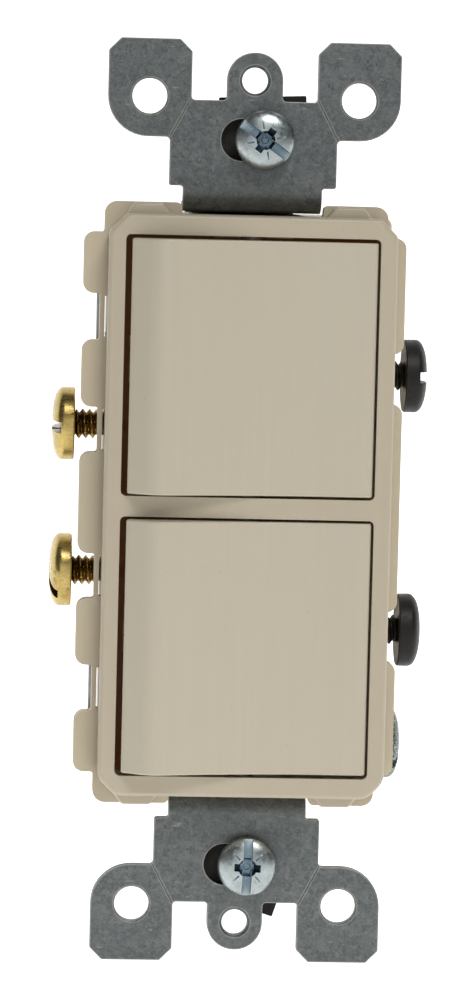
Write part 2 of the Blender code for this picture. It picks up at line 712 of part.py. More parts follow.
CREAM = make_material("cream_plastic", (0.70, 0.63, 0.50), 0.38)
HOUSING_CREAM = make_material("housing_plastic", (0.66, 0.59, 0.46), 0.45)
STEEL = make_material("galvanised_steel", (0.33, 0.35, 0.35), 0.5, 0.9)
ZINC = make_material("zinc_plate", (0.55, 0.60, 0.62), 0.3, 1.0)
BRASS = make_material("brass", (0.75, 0.58, 0.26), 0.3, 1.0)
BLACK_OXIDE = make_material("black_oxide", (0.03, 0.028, 0.025), 0.4, 0.6)
GREEN = make_material("green_plate", (0.16, 0.26, 0.18), 0.35, 0.8)
SILVER = make_material("contact_silver", (0.85, 0.84, 0.80), 0.3, 1.0)
BLACK_FIBRE = make_material("black_fibre", (0.02, 0.02, 0.02), 0.8)
NYLON = make_material("white_nylon", (0.80, 0.79, 0.75), 0.45)
SPRING_STEEL = make_material("spring_steel", (0.50, 0.51, 0.52), 0.35, 1.0)

make_strap()
make_cover()
make_housing()
for LABEL, SIGN in (("upper", 1), ("lower", -1)):
    make_rocker(LABEL, SIGN)
    make_contact_arm(LABEL, SIGN)
    make_brass_terminal(LABEL, SIGN)
    make_clip(LABEL, SIGN)
    make_fixed_contact(LABEL, SIGN)
make_common_bar()
make_terminal_screws()
make_mounting_screws()
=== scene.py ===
"""Looks of the double rocker wall switch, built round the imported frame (metres, +X right, +Y back, +Z up)."""
import json
import math

import bmesh
import bpy
from mathutils import Matrix, Vector


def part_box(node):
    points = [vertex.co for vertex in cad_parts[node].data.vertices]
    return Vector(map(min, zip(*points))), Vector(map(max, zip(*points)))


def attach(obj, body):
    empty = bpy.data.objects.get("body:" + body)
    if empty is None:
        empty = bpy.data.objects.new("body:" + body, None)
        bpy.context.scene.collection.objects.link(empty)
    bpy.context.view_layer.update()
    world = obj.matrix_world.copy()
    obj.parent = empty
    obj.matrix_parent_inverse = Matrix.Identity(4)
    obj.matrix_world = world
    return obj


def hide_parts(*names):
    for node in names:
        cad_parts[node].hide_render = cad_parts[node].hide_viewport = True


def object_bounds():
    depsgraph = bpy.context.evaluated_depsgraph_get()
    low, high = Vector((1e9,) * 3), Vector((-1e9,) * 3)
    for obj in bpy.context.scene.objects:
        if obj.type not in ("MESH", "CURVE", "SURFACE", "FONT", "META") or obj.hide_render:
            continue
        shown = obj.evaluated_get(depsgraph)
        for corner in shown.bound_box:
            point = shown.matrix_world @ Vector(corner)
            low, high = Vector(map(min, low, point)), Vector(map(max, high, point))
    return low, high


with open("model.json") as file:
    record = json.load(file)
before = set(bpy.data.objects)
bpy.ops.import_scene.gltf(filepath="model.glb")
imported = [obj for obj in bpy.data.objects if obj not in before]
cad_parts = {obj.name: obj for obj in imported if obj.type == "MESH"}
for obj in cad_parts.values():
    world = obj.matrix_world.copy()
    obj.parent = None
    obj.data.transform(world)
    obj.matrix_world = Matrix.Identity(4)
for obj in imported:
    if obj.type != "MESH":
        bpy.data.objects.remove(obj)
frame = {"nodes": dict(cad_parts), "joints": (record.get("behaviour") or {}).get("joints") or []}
CAD_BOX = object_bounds()

MM = 0.001
ROCKERS = (("upper", 1), ("lower", -1))
STRAP_ENDS = (("top", 1), ("bottom", -1))


# ---------------------------------------------------------------------------------------------
# Mesh helpers: outlines are in millimetres, meshes in metres in the frame's own axes


def link(name, mesh):
    """Puts a mesh in the scene as a new object."""
    obj = bpy.data.objects.new(name, mesh)
    bpy.context.scene.collection.objects.link(obj)
    return obj


def arc(centre, radius, start_deg, end_deg, steps):
    """Points along a circular arc, both ends included."""
    points = []
    for i in range(steps + 1):
        a = math.radians(start_deg + (end_deg - start_deg) * i / steps)
        points.append((centre[0] + radius * math.cos(a), centre[1] + radius * math.sin(a)))
    return points


def round_corners(corners, steps=8):
    """A closed outline from (x, y, radius) corners."""
    points = []
    for i, (x, y, radius) in enumerate(corners):
        if radius == 0:
            points.append((x, y))
            continue
        before, after = corners[i - 1], corners[(i + 1) % len(corners)]
        into = math.atan2(y - before[1], x - before[0])
        out = math.atan2(after[1] - y, after[0] - x)
        turn = (out - into + math.pi) % (2 * math.pi) - math.pi
        side = math.copysign(1.0, turn)
        reach = radius * math.tan(abs(turn) / 2)
        centre = (
            x - reach * math.cos(into) - side * radius * math.sin(into),
            y - reach * math.sin(into) + side * radius * math.cos(into),
        )
        start = math.degrees(into - side * math.pi / 2)
        points += arc(centre, radius, start, start + math.degrees(turn), steps)
    return points


def rectangle(x, y, radius=0.0, steps=6):
    """Outline of a rectangle between two (low, high) pairs, with rounded corners."""
    (x0, x1), (y0, y1) = sorted(x), sorted(y)
    return round_corners([(x0, y0, radius), (x1, y0, radius), (x1, y1, radius), (x0, y1, radius)], steps)


TURNS = {
    "XZ": Matrix.Rotation(math.pi / 2, 4, "X"),
    "XY": Matrix.Identity(4),
    "YZ": Matrix.Rotation(math.pi / 2, 4, "Z") @ Matrix.Rotation(math.pi / 2, 4, "X"),
}
ACROSS = {"XZ": (0, 1, 0), "XY": (0, 0, 1), "YZ": (1, 0, 0)}


def extruded(name, outline, plane, span):
    """A solid of one flat outline, with single n-gon ends, over span across its plane."""
    low, high = sorted(span)
    mesh = bpy.data.meshes.new(name)
    bm = bmesh.new()
    half = (high - low) / 2
    rings = []
    for h in (-half, half):
        rings.append([bm.verts.new((MM * u, MM * v, MM * h)) for u, v in outline])
    bm.faces.new(list(reversed(rings[0])))
    bm.faces.new(rings[1])
    for i in range(len(outline)):
        j = (i + 1) % len(outline)
        bm.faces.new((rings[0][i], rings[0][j], rings[1][j], rings[1][i]))
    shift = Vector(ACROSS[plane]) * (MM * (low + high) / 2)
    bm.transform(Matrix.Translation(shift) @ TURNS[plane])
    bmesh.ops.recalc_face_normals(bm, faces=bm.faces)
    bm.to_mesh(mesh)
    bm.free()
    return link(name, mesh)


def block(name, x, y, z):
    """A box between three (low, high) pairs, in either order."""
    mesh = bpy.data.meshes.new(name)
    bm = bmesh.new()
    spans = [sorted(s) for s in (x, y, z)]
    size = [MM * (b - a) for a, b in spans]
    middle = Vector([MM * (a + b) / 2 for a, b in spans])
    bmesh.ops.create_cube(bm, size=1.0, matrix=Matrix.Translation(middle) @ Matrix.Diagonal((*size, 1.0)))
    bm.to_mesh(mesh)
    bm.free()
    return link(name, mesh)


def pointing(direction, origin):
    """Takes local +Z to direction, and the local origin to origin (millimetres)."""
    turn = Vector(direction).to_track_quat("Z", "Y").to_matrix().to_4x4()
    return Matrix.Translation(Vector(origin) * MM) @ turn


def bar(name, radius, low, high, origin, direction, end_radius=None, sides=64):
    """A round bar, or a cone with end_radius, from low to high along direction."""
    mesh = bpy.data.meshes.new(name)
    bm = bmesh.new()
    bmesh.ops.create_cone(
        bm, cap_ends=True, segments=sides, radius1=radius * MM,
        radius2=(radius if end_radius is None else end_radius) * MM, depth=(high - low) * MM,
        matrix=pointing(direction, origin) @ Matrix.Translation((0, 0, MM * (low + high) / 2)),
    )
    bm.to_mesh(mesh)
    bm.free()
    return link(name, mesh)


def bake_modifiers(obj):
    """Applies the object's modifiers to its mesh."""
    depsgraph = bpy.context.evaluated_depsgraph_get()
    mesh = bpy.data.meshes.new_from_object(obj.evaluated_get(depsgraph))
    obj.modifiers.clear()
    obj.data = mesh


def combine(obj, tools, operation="DIFFERENCE", solver="EXACT"):
    """Cuts or joins tools with obj, then removes them."""
    for tool in tools:
        modifier = obj.modifiers.new("Combine", "BOOLEAN")
        modifier.operation = operation
        modifier.object = tool
        modifier.solver = solver
    bake_modifiers(obj)
    for tool in tools:
        bpy.data.objects.remove(tool, do_unlink=True)


def bevel(obj, width, segments=3, angle=40.0):
    """Rounds every edge sharper than angle."""
    modifier = obj.modifiers.new("Bevel", "BEVEL")
    modifier.width = width * MM
    modifier.segments = segments
    modifier.limit_method = "ANGLE"
    modifier.angle_limit = math.radians(angle)
    modifier.miter_outer = "MITER_ARC"
    modifier.use_clamp_overlap = True
    bake_modifiers(obj)


def smooth(obj, angle=35.0):
    """Shades smooth, with edges sharper than angle left crisp."""
    obj.data.shade_smooth()
    obj.data.set_sharp_from_angle(angle=math.radians(angle))
    weighted = obj.modifiers.new("Weighted", "WEIGHTED_NORMAL")
    weighted.keep_sharp = True


def settle(obj, body, material, node):
    """Gives a finished piece its material, its body, and the CAD node that it stands for."""
    obj.data.materials.clear()
    obj.data.materials.append(material)
    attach(obj, body)
    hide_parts(node)


# ---------------------------------------------------------------------------------------------
# Materials


class Nodes:
    """A material's node tree, with short ways to add what these surfaces need."""

    def __init__(self, name):
        self.material = bpy.data.materials.new(name)
        self.material.use_nodes = True
        self.tree = self.material.node_tree
        self.shader = self.tree.nodes["Principled BSDF"]
        self.place = self.add("ShaderNodeTexCoord").outputs["Object"]

    def add(self, kind, **settings):
        """A new node, with its own settings."""
        node = self.tree.nodes.new(kind)
        for key, value in settings.items():
            setattr(node, key, value)
        return node

    def join(self, source, target):
        self.tree.links.new(source, target)

    def stretched(self, scale):
        """Object coordinates scaled per axis: a small factor draws a texture out along that axis."""
        mapping = self.add("ShaderNodeMapping")
        mapping.inputs["Scale"].default_value = scale
        self.join(self.place, mapping.inputs["Vector"])
        return mapping.outputs["Vector"]

    def noise(self, size_mm, detail=3.0, rough=0.55, vector=None):
        """Cloudy noise, 0 to 1, whose coarsest features are size_mm across."""
        node = self.add("ShaderNodeTexNoise")
        node.inputs["Scale"].default_value = 1.0 / (size_mm * MM)
        node.inputs["Detail"].default_value = detail
        node.inputs["Roughness"].default_value = rough
        self.join(vector or self.place, node.inputs["Vector"])
        return node.outputs["Fac"]

    def cells(self, size_mm, vector):
        """Colour of the Voronoi cell, about size_mm across, that each point is in."""
        node = self.add("ShaderNodeTexVoronoi", feature="F1")
        node.inputs["Scale"].default_value = 1.0 / (size_mm * MM)
        self.join(vector, node.inputs["Vector"])
        return node.outputs["Color"]

    def ramp(self, factor, stops):
        """Colour ramp from (position, colour) stops."""
        node = self.add("ShaderNodeValToRGB")
        elements = node.color_ramp.elements
        for element, (position, colour) in zip(elements, (stops[0], stops[-1])):
            element.position = position
            element.color = (*colour, 1.0)
        for position, colour in stops[1:-1]:
            elements.new(position).color = (*colour, 1.0)
        self.join(factor, node.inputs["Fac"])
        return node.outputs["Color"]

    def spread(self, factor, low, high, source=(0.3, 0.7)):
        """Takes the source range of factor to low and high, and holds it there outside that range."""
        node = self.add("ShaderNodeMapRange")
        node.inputs["From Min"].default_value, node.inputs["From Max"].default_value = source
        node.inputs["To Min"].default_value, node.inputs["To Max"].default_value = low, high
        self.join(factor, node.inputs["Value"])
        return node.outputs["Result"]

    def mix(self, factor, a, b):
        """Colour a where factor is 0, and b where it is 1; each may be a socket or a value."""
        node = self.add("ShaderNodeMix", data_type="RGBA", blend_type="MIX")
        factor_in, a_in, b_in = (node.inputs[i] for i in (0, 6, 7))
        for value, socket in ((factor, factor_in), (a, a_in), (b, b_in)):
            if hasattr(value, "is_output"):
                self.join(value, socket)
            elif isinstance(value, tuple):
                socket.default_value = (*value, 1.0)
            else:
                socket.default_value = value
        return node.outputs[2]

    def bump(self, heights):
        """Chains bumps from (height, depth in millimetres, strength)."""
        normal = None
        for height, depth, strength in heights:
            node = self.add("ShaderNodeBump")
            node.inputs["Distance"].default_value = depth * MM
            node.inputs["Strength"].default_value = strength
            self.join(height, node.inputs["Height"])
            if normal:
                self.join(normal, node.inputs["Normal"])
            normal = node.outputs["Normal"]
        self.join(normal, self.shader.inputs["Normal"])

    def edges(self, radius_mm, low, high):
        """1 on worn edges, 0 on flats, from how far a rounded normal leaves the true one."""
        rounded = self.add("ShaderNodeBevel", samples=3)
        rounded.inputs["Radius"].default_value = radius_mm * MM
        geometry = self.add("ShaderNodeNewGeometry")
        apart = self.add("ShaderNodeVectorMath", operation="DISTANCE")
        self.join(rounded.outputs["Normal"], apart.inputs[0])
        self.join(geometry.outputs["Normal"], apart.inputs[1])
        return self.spread(apart.outputs["Value"], 0.0, 1.0, (low, high))

    def recess_shade_mask(self, reach_mm, low, high):
        """Painted shade mask: 1 down in recesses, 0 on open faces."""
        occlusion = self.add("ShaderNodeAmbientOcclusion", samples=4)
        occlusion.inputs["Distance"].default_value = reach_mm * MM
        return self.spread(occlusion.outputs["AO"], 1.0, 0.0, (low, high))

    def finish(self, colour, roughness, metallic=0.0, **constants):
        """Joins up the shader; other sockets are named with underscores for spaces."""
        self.join(colour, self.shader.inputs["Base Color"])
        self.join(roughness, self.shader.inputs["Roughness"])
        self.shader.inputs["Metallic"].default_value = metallic
        for key, value in constants.items():
            self.shader.inputs[key.replace("_", " ")].default_value = value
        return self.material


def tinted(colour, factor):
    """The colour, darker or lighter by a factor."""
    return tuple(c * factor for c in colour)


BEZEL_CREAM = (0.445, 0.388, 0.288)
ROCKER_CREAM = (0.480, 0.430, 0.334)
HOUSING_CREAM = (0.505, 0.435, 0.315)
# Painted shade: dark brown painted down inside the rocker wells, for the shaded gaps round the rockers.
WELL_PAINTED_SHADE = (0.200, 0.085, 0.030)
# Painted glow: faint emission in the wells, standing in for light through the cream plastic.
WELL_PAINTED_GLOW = (0.020, 0.0080, 0.0025)
WELL_SOFT = 0.0001


def plastic(name, colour, rough=(0.30, 0.40)):
    """Moulded thermoplastic: faint flow tone, orange-peel, fine pitting and faint vertical stripes, partly
    mould flow lines and partly painted reflection stripes.
    """
    n = Nodes(name)
    flow = n.noise(22.0, 2.0, 0.5, n.stretched((1.0, 1.0, 0.25)))
    grain = n.noise(0.22, 2.0)
    tone = n.ramp(flow, [(0.3, tinted(colour, 0.975)), (0.7, tinted(colour, 1.02))])
    speck = n.noise(0.9, 4.0, 0.7)
    tone = n.mix(n.spread(speck, 0.0, 0.10, (0.55, 0.8)), tone, tinted(colour, 0.82))
    # Vertical stripes of tone: partly mould flow lines, partly painted reflection stripes.
    flow_and_reflection_streak = n.noise(0.8, 3.0, 0.6, n.stretched((1.0, 1.0, 0.02)))
    tone = n.mix(n.spread(flow_and_reflection_streak, 0.0, 0.35), tone, tinted(colour, 0.93))
    dust = n.noise(0.35, 1.0, 0.4)
    tone = n.mix(n.spread(dust, 0.0, 0.5, (0.80, 0.84)), tone, tinted(colour, 0.45))
    n.bump([(n.noise(1.6, 2.0), 0.02, 0.25), (grain, 0.006, 0.3)])
    return n.finish(tone, n.spread(n.noise(3.5, 3.0), *rough), Specular_IOR_Level=0.45)


def housing_plastic(name, colour, front_y, half_x):
    """The cream housing, a little rougher than the cover, with painted brown shade down inside its rocker
    wells.

    The wells also get a faint painted glow, in place of the light that real cream plastic lets through."""
    n = Nodes(name)
    flow = n.noise(18.0, 3.0, 0.55)
    tone = n.ramp(flow, [(0.3, tinted(colour, 0.96)), (0.7, tinted(colour, 1.02))])
    axes = n.add("ShaderNodeSeparateXYZ")
    n.join(n.place, axes.inputs["Vector"])
    inside = None
    for axis, limit, beyond in (("X", half_x, False), ("Y", front_y, True),
                                ("Y", WELL_BACK_Y, False), ("Z", WELL_HALF_Z, False)):
        place = axes.outputs[axis]
        if axis != "Y":
            distance = n.add("ShaderNodeMath", operation="ABSOLUTE")
            n.join(place, distance.inputs[0])
            place = distance.outputs[0]
        low, high = (0.0, 1.0) if beyond else (1.0, 0.0)
        side = n.spread(place, low, high, (limit - WELL_SOFT, limit + WELL_SOFT))
        if inside is None:
            inside = side
            continue
        times = n.add("ShaderNodeMath", operation="MULTIPLY")
        n.join(inside, times.inputs[0])
        n.join(side, times.inputs[1])
        inside = times.outputs[0]
    # Painted shade inside the wells, then a painted glow there too.
    tone = n.mix(inside, tone, WELL_PAINTED_SHADE)
    n.join(n.mix(inside, (0.0, 0.0, 0.0), WELL_PAINTED_GLOW), n.shader.inputs["Emission Color"])
    n.shader.inputs["Emission Strength"].default_value = 1.0
    n.bump([(n.noise(2.0, 2.0), 0.03, 0.3), (n.noise(0.15, 2.0), 0.012, 0.35)])
    return n.finish(tone, n.spread(n.noise(4.0, 3.0), 0.38, 0.5), Specular_IOR_Level=0.4)


STEEL_DARK, STEEL, STEEL_LIGHT = (0.100, 0.110, 0.111), (0.135, 0.147, 0.146), (0.170, 0.182, 0.178)
STEEL_GRAIN, STEEL_PIT = (0.230, 0.243, 0.237), (0.050, 0.056, 0.056)
STEEL_SCRATCH, STEEL_EDGE = (0.36, 0.36, 0.34), (0.42, 0.42, 0.38)


def galvanised():
    """Hot-dip zinc on strip steel: spangle patches, rolling lines, pits and a few scratches."""
    n = Nodes("galvanised_steel_look")
    warp = n.add("ShaderNodeVectorMath", operation="ADD")
    wobble = n.add("ShaderNodeTexNoise")
    wobble.inputs["Scale"].default_value = 900.0
    n.join(n.place, wobble.inputs["Vector"])
    scale = n.add("ShaderNodeVectorMath", operation="SCALE")
    scale.inputs["Scale"].default_value = 0.0012
    n.join(wobble.outputs["Color"], scale.inputs[0])
    n.join(n.place, warp.inputs[0])
    n.join(scale.outputs["Vector"], warp.inputs[1])
    spangle = n.cells(0.55, warp.outputs["Vector"])
    split = n.add("ShaderNodeSeparateColor")
    n.join(spangle, split.inputs["Color"])
    patch = split.outputs["Red"]
    base = n.ramp(patch, [(0.0, STEEL_DARK), (0.5, STEEL), (1.0, STEEL_LIGHT)])
    cloud = n.noise(4.0, 4.0, 0.6)
    base = n.mix(n.spread(cloud, 0.0, 0.6), base, STEEL_DARK)
    grain = n.noise(0.28, 4.0, 0.75)
    base = n.mix(n.spread(grain, 0.0, 0.75, (0.52, 0.72)), base, STEEL_GRAIN)
    base = n.mix(n.spread(grain, 0.7, 0.0, (0.30, 0.46)), base, STEEL_PIT)
    nick = n.noise(0.5, 2.0, 0.5, n.stretched((0.25, 1.0, 1.1)))
    base = n.mix(n.spread(nick, 0.0, 0.4, (0.70, 0.76)), base, STEEL_SCRATCH)
    base = n.mix(n.edges(0.2, 0.03, 0.3), base, STEEL_EDGE)
    n.bump([(cloud, 0.03, 0.3), (grain, 0.015, 0.5), (patch, 0.006, 0.3)])
    return n.finish(base, n.spread(grain, 0.40, 0.62), 0.72)


def metal(name, light, dark, rough, lines=(1.0, 1.0, 1.0), stain=None, painted_recess_shade=None):
    """Plated or bare metal with drawn lines, cloudy tarnish, bright worn edges and painted shade in its
    recesses.

    stain is the colour of its patches, and the recess argument the colour of painted shade down in its
    recesses."""
    n = Nodes(name)
    cloud = n.noise(2.2, 4.0, 0.6)
    base = n.ramp(cloud, [(0.3, dark), (0.7, light)])
    if stain:
        base = n.mix(n.spread(n.noise(1.1, 5.0, 0.7), 0.0, 0.8, (0.54, 0.68)), base, stain)
    drawn = n.noise(0.4, 3.0, 0.6, n.stretched(lines))
    base = n.mix(n.edges(0.12, 0.1, 0.6), base, tinted(light, 1.15))
    if painted_recess_shade:
        # Painted shade: recesses darkened from an occlusion mask.
        base = n.mix(n.recess_shade_mask(1.6, 0.6, 0.98), base, painted_recess_shade)
    n.bump([(drawn, 0.012, 0.35), (cloud, 0.02, 0.25)])
    return n.finish(base, n.spread(drawn, *rough), 1.0)


def black_finish():
    """Oil-blackened steel: nearly black, with fine turning marks and greyer rubbed grain."""
    n = Nodes("black_oxide_look")
    marks = n.noise(0.16, 4.0, 0.7, n.stretched((1.0, 0.35, 0.35)))
    cloud = n.noise(0.9, 4.0, 0.65)
    tone = n.ramp(marks, [
        (0.35, (0.0045, 0.0040, 0.0034)),
        (0.62, (0.010, 0.009, 0.0075)),
        (0.80, (0.050, 0.045, 0.038)),
    ])
    tone = n.mix(n.spread(cloud, 0.0, 0.5, (0.5, 0.75)), tone, (0.018, 0.015, 0.011))
    tone = n.mix(n.edges(0.12, 0.1, 0.6), tone, (0.06, 0.055, 0.048))
    n.bump([(marks, 0.03, 0.6), (cloud, 0.03, 0.4)])
    return n.finish(tone, n.spread(marks, 0.34, 0.62), 0.25, Specular_IOR_Level=0.35)


def green_with_painted_glints():
    """Green-dyed zinc under a dense scatter of painted reflections: bright and black flecks stand in for its
    textured reflections.
    """
    n = Nodes("green_zinc_look")
    glint_speckle = n.noise(0.20, 3.0, 0.75)
    # Painted reflections: the black and bright stops are flecks of painted reflection over the green dye.
    tone = n.ramp(glint_speckle, [
        (0.42, (0.006, 0.010, 0.007)),
        (0.49, (0.045, 0.085, 0.060)),
        (0.54, (0.16, 0.20, 0.17)),
        (0.60, (0.55, 0.57, 0.56)),
    ])
    n.bump([(glint_speckle, 0.05, 0.7), (n.noise(1.2, 3.0), 0.03, 0.3)])
    return n.finish(tone, n.spread(glint_speckle, 0.55, 0.25), 0.75)


def matte_black():
    """Black vulcanised fibre, faintly streaked along its grain."""
    n = Nodes("black_fibre_look")
    fibre = n.noise(0.3, 4.0, 0.65, n.stretched((1.0, 1.0, 0.3)))
    tone = n.ramp(fibre, [(0.35, (0.010, 0.009, 0.008)), (0.7, (0.028, 0.026, 0.022))])
    n.bump([(fibre, 0.02, 0.5)])
    return n.finish(tone, n.spread(fibre, 0.65, 0.85), Specular_IOR_Level=0.3)


# ---------------------------------------------------------------------------------------------
# Sizes read from the frame, in millimetres


def span(node, axis):
    """A CAD node's (low, high) along an axis."""
    low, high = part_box(node)
    return low[axis] / MM, high[axis] / MM


FACE_Y, COVER_BACK_Y = span("front_cover", 1)
COVER_HALF_X = span("front_cover", 0)[1]
LATCH_Z = span("front_cover", 2)[1]
LATCH_REACH = 1.2
COVER_HALF_Z = LATCH_Z - LATCH_REACH
SIDE_RIM, END_RIM, MIDDLE_BAR = 1.89, 2.33, 2.34
ROCKER_Z = (MIDDLE_BAR / 2 + 0.3, COVER_HALF_Z - END_RIM - 0.42)
OPENING_X = (SIDE_RIM - COVER_HALF_X, COVER_HALF_X - SIDE_RIM - 0.06)
OPENING_Z = (MIDDLE_BAR / 2, COVER_HALF_Z - END_RIM)
PIVOT_Y = frame["joints"][0]["pos_m"][1] / MM
ROCKER_RIGHT_X = span("rocker_upper", 0)[1] + 0.13
ROCKER_TURN = math.radians(7.5)
SHEET = 1.2
STRAP_END_Z = span("mounting_strap", 2)[1]
STRAP_BACK_Y = span("mounting_strap", 1)[1]
STRAP_HALF_X = -span("mounting_strap", 0)[0]
FLANGE_Y = -2.8
LEFT_TAB_X, RIGHT_TAB_X = span("rear_housing", 0)
HOUSING_BACK_Y = span("rear_housing", 1)[1]
GROUND_SCREW_Z = sum(span("ground_screw", 2)) / 2
GROUND_HOLE_Y = 8.0
TERMINAL_Y = 6.0
BRASS_SCREW_Z, BLACK_SCREW_Z = 8.5, 14.83
WELL_BACK_Y = 12.9 * MM
WELL_HALF_Z = 30.9 * MM


# ---------------------------------------------------------------------------------------------
# Front cover


def make_cover(material):
    """Bezel with soft outer edges, crisp rocker openings and the four latch bumps."""
    x, z, chamfer, wall = COVER_HALF_X, COVER_HALF_Z, 2.0, 1.2
    u, v = x - chamfer, z - chamfer
    corners = [(x, -v), (x, v), (u, z), (-u, z), (-x, v), (-x, -v), (-u, -z), (u, -z)]
    outline = round_corners([(a, b, 1.1 if b > 0 else 2.2) for a, b in corners], 8)
    cover = extruded("cover_bezel", outline, "XZ", (FACE_Y, COVER_BACK_Y))
    bevel(cover, 0.5, 5)
    latches = []
    foot_half, tip_half, root = 3.35, 1.6, 0.9
    for middle in (-11.9, 10.9):
        for side in (-1, 1):
            latch = [(middle - foot_half, side * (z - root)), (middle + foot_half, side * (z - root)),
                     (middle + tip_half, side * LATCH_Z), (middle - tip_half, side * LATCH_Z)]
            latches.append(extruded("latch", latch, "XZ", (FACE_Y + 1.7, COVER_BACK_Y - 0.55)))
    for latch in latches:
        bevel(latch, 0.3, 4)
    combine(cover, latches, "UNION")
    tools = [block("inside", (-x + wall, x - wall), (FACE_Y + 1.5, 0), (-z + wall, z - wall))]
    for _, sign in ROCKERS:
        hole = rectangle(OPENING_X, (sign * OPENING_Z[0], sign * OPENING_Z[1]), 0.6)
        tools.append(extruded("opening", hole, "XZ", (FACE_Y - 1, FACE_Y + 3)))
    combine(cover, tools)
    bevel(cover, 0.12, 2, 60)
    smooth(cover)
    settle(cover, "base", material, "front_cover")


# ---------------------------------------------------------------------------------------------
# Rockers


FACE_FLAT_X, FACE_STRAIGHT_X, FACE_SLOPE = 8.0, -7.0, 0.26
CREASE_X, ROCKER_LEFT_X, BEVEL_FOOT = -10.6, -13.8, 0.5
BOSS_RADIUS, BORE_RADIUS, TRUNNION_RADIUS = 3.2, 2.1, 1.2


def face_height(x):
    """Height of the resting rocker's face above the cover's face."""
    run = FACE_FLAT_X - FACE_STRAIGHT_X
    if x >= FACE_FLAT_X:
        return 0.0
    if x >= FACE_STRAIGHT_X:
        return FACE_SLOPE * (FACE_FLAT_X - x) ** 2 / (2 * run)
    return FACE_SLOPE * run / 2 + FACE_SLOPE * (FACE_STRAIGHT_X - x)


def rocker_profiles():
    """Outer and inner sections of a resting rocker, drawn as (x, height above the cover's face)."""
    pivot = -PIVOT_Y + FACE_Y
    samples = [FACE_FLAT_X - (FACE_FLAT_X - FACE_STRAIGHT_X) * i / 36 for i in range(37)]
    outer = [(ROCKER_RIGHT_X, 0.0, 0.4)]
    outer += [(x, face_height(x), 0) for x in samples]
    outer += [(CREASE_X, face_height(CREASE_X), 2.9), (ROCKER_LEFT_X, BEVEL_FOOT, 0.3)]
    outer += [(-13.4, -0.9, 0), (-13.2, pivot - 3.4, 0), (-6.0, pivot - 2.2, 0), (6.0, pivot - 2.2, 0)]
    outer += [(11.8, pivot - 5.0, 0)]
    outer += [(x, h, 0) for x, h in arc((0.0, pivot), 13.98, -21, 0, 8)]
    wall, low = 1.3, pivot - 8.0
    inner = [(ROCKER_RIGHT_X - wall, low, 0), (ROCKER_RIGHT_X - wall, -wall, 0)]
    inner += [(x, face_height(x) - wall, 0) for x in samples]
    inner += [(CREASE_X + 0.3, face_height(CREASE_X) - wall, 0), (ROCKER_LEFT_X + wall, BEVEL_FOOT - 0.9, 0)]
    inner += [(ROCKER_LEFT_X + wall, low, 0)]
    return [[(x, FACE_Y - h) for x, h in round_corners(loop, 8)] for loop in (outer, inner)]


def make_rocker(label, sign, material):
    """Hollow rocker button, with its trunnions and the boss that the plunger slides in."""
    outer, inner = rocker_profiles()
    z = sorted((sign * ROCKER_Z[0], sign * ROCKER_Z[1]))
    node = "rocker_" + label
    rocker = extruded(f"rocker_{label}_button", outer, "XY", z)
    bevel(rocker, 0.24, 4, 55)
    boss_way = (-math.sin(ROCKER_TURN), math.cos(ROCKER_TURN), 0)
    middle = (0.0, PIVOT_Y, sum(z) / 2)
    combine(rocker, [extruded("inside", inner, "XY", (z[0] + 1.2, z[1] - 1.2))])
    solids = [bar("boss", BOSS_RADIUS, -2.6, 6.8, middle, boss_way)]
    node_z = span(node, 2)
    for low, high in ((node_z[0], z[0] + 0.6), (z[1] - 0.6, node_z[1])):
        solids.append(bar("trunnion", TRUNNION_RADIUS, low, high, (0, PIVOT_Y, 0), (0, 0, 1), sides=40))
    combine(rocker, solids, "UNION")
    combine(rocker, [bar("bore", BORE_RADIUS, 0.5, 9.0, middle, boss_way)])
    smooth(rocker, 30)
    settle(rocker, node, material, node)


# ---------------------------------------------------------------------------------------------
# Strap


EAR_HOLE = (11.95, 46.4)
PLATE_HOLE_Z = 48.41
SLOT_Z = 41.65
NECK_HALF, BLOCK_HALF = 7.95, 9.55
GROUND_TAB_X, GROUND_TAB_Z = (15.4, 16.5), (-32.6, -25.4)


def strap_outline():
    """The strap seen from the front, before it is folded."""
    end, tab, chamfer, ear_inner = STRAP_END_Z, 3.2, 1.4, 7.2
    x = STRAP_HALF_X
    top_right = [
        (NECK_HALF, 36.3, 0.3), (BLOCK_HALF, 36.3, 0.3), (BLOCK_HALF, 41.8, 0.5), (x, 41.8, 4.6),
        (x, end - chamfer, 0.25), (x - chamfer, end, 0.25), (ear_inner + chamfer, end, 0.25),
        (ear_inner, end - chamfer, 0.25), (ear_inner, 46.1, 0.4), (tab, 46.1, 0.4), (tab, 51.6, tab - 0.05),
    ]
    top_left = [(-u, v, r) for u, v, r in reversed(top_right)]
    bottom_left = [(-u, -v, r) for u, v, r in top_right]
    bottom_right = [(u, -v, r) for u, v, r in reversed(top_right)]
    arm = [(NECK_HALF, -32.8, 0.5), (16.2, -32.8, 0), (16.2, -25.2, 0), (NECK_HALF, -25.2, 0.5)]
    return round_corners(top_right + top_left + bottom_left + bottom_right + arm, 10)


def strap_side():
    """The folded strap seen from the side: the ears' plane, the two bends and the leg round the body."""
    t, inner = SHEET, 1.2
    leg = 35.8 - inner
    back = STRAP_BACK_Y - t
    end = STRAP_END_Z + 1.0
    inside = [(0.0, end, 0), (-t, end, 0), (-t, leg - t, inner + t), (back, leg - t, 0)]
    outside = [(back + t, leg, 1.15), (0.0, leg, inner)]
    inside += [(y, -z, r) for y, z, r in reversed(inside)]
    outside = [(y, -z, r) for y, z, r in reversed(outside)] + outside
    return round_corners(inside + outside, 14)


